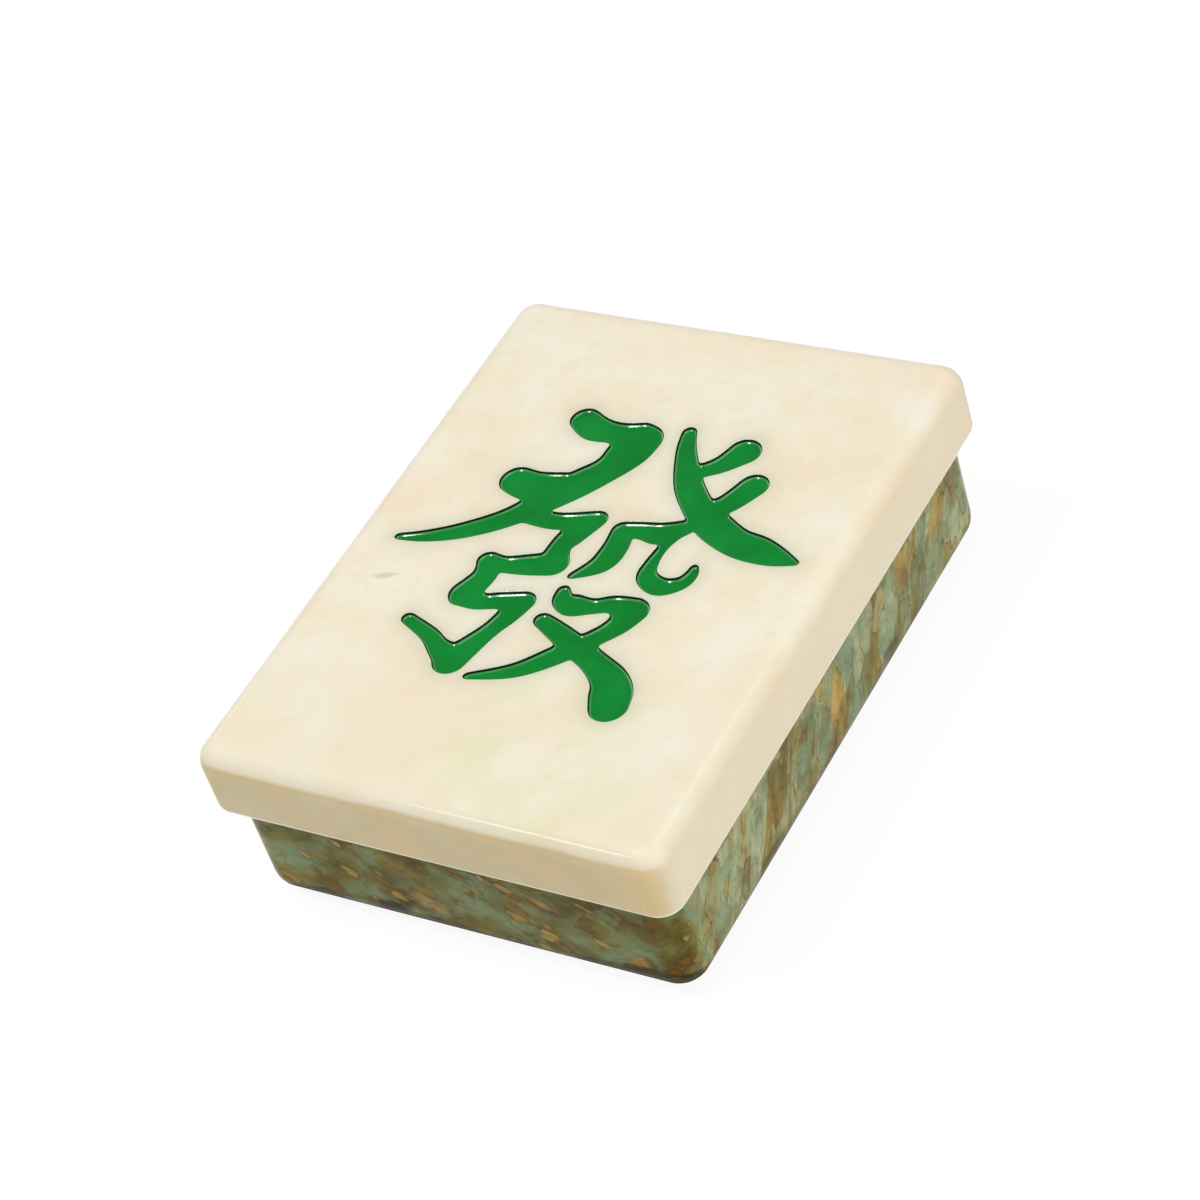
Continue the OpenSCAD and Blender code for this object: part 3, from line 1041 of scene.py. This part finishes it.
def closed_rings(rings):
    """The patches of a ring surface whose first ring is closed downwards and whose last one upwards."""
    rows, columns = rings.shape[:2]
    return [
        (rings, grid_faces(rows, columns)),
        (rings[0], cap(columns, upwards=False)),
        (rings[-1], cap(columns, upwards=True)),
    ]


make_piece("base", closed_rings(base_rings), "base", "base_tray", marble)

# %% [markdown]
# ## The pad inside
#
# A soft suede pad lies on the floor of the base. It is a thin padded sheet whose edge rolls over and
# whose face swells a little; the nap is a fine bump and a mottled tint, as brushed suede has.

# %% Pad finish
suede = Finish("sage_suede", {"Sheen Weight": 0.5, "Sheen Roughness": 0.5, "Specular IOR Level": 0.2})
suede_place = suede.place()
nap = suede.noise(suede_place, 3.5, detail=4.0, rough=0.7)
brushed = suede.noise(suede.warp(suede_place, 0.08, 3.0), 0.09, detail=2.0)
suede_colour = suede.ramp(brushed * 0.6 + nap * 0.4, [
    (0.35, seen(78, 92, 72)),
    (0.65, seen(108, 122, 98)),
])
suede.set(Base_Color=suede_colour, Roughness=0.85 + nap * 0.1, Normal=suede.bump(nap, 0.6, 0.12))
print("suede has", len(suede.tree.nodes), "nodes")

# %% Pad
PAD_EDGE = 0.5 * MM
PAD_EASE = 0.1 * MM
PAD_CORNER = 2.6 * MM
PAD_SWELL = 0.15 * MM
PAD_ROWS = 12

pad_width = liner_high.x - liner_low.x
pad_length = liner_high.y - liner_low.y
pad_top = liner_high.z - PAD_SWELL
swell = np.linspace(0, 1, PAD_ROWS + 1)[1:]
pad_inset = PAD_EDGE + swell * (pad_width / 2 - PAD_EDGE - 2 * PAD_CORNER)
pad_section = np.concatenate([
    [[PAD_EDGE, liner_low.z], [PAD_EASE, liner_low.z], [0, liner_low.z + PAD_EASE]],
    edge_round(PAD_EDGE, pad_top - PAD_EDGE, PAD_EDGE, 180, 90),
    np.column_stack([pad_inset, pad_top + PAD_SWELL * np.sin(swell * math.pi / 2)]),
])
pad_corner = np.maximum(PAD_CORNER - pad_section[:, :1], PAD_CORNER / 3)
pad_rings = ring_points(pad_width, pad_length, np.column_stack([pad_section, pad_corner]))
pad = make_piece("suede_pad", closed_rings(pad_rings), "base", "floor_liner", suede)

# %% [markdown]
# ## The plate under the lid and the feet
#
# The locating plate is bonded under the lid and drops into the base; the four feet are clear soft
# bumpers. Their solids already have the right shape, so they keep it and only get a finish.

# %% Plate and feet
FEET = ["foot_front_left", "foot_front_right", "foot_back_left", "foot_back_right"]

bumper = Finish("clear_bumper", {"IOR": 1.45, "Transmission Weight": 0.85})
bumper_dust = bumper.noise(bumper.place(), 0.8, detail=4.0, rough=0.6)
bumper_colour = bumper.ramp(bumper_dust, [(0.35, seen(214, 222, 220)), (0.65, seen(234, 238, 236))])
bumper.set(Base_Color=bumper_colour, Roughness=0.22 + bumper_dust * 0.2)


def dress(node, finish):
    """Gives a solid of the frame a finish in place of its plain colour."""
    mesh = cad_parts[node].data
    mesh.materials.clear()
    mesh.materials.append(finish.material)


dress("lid_locating_plate", cream)
for foot in FEET:
    dress(foot, bumper)
print("the plate and", len(FEET), "feet are dressed")
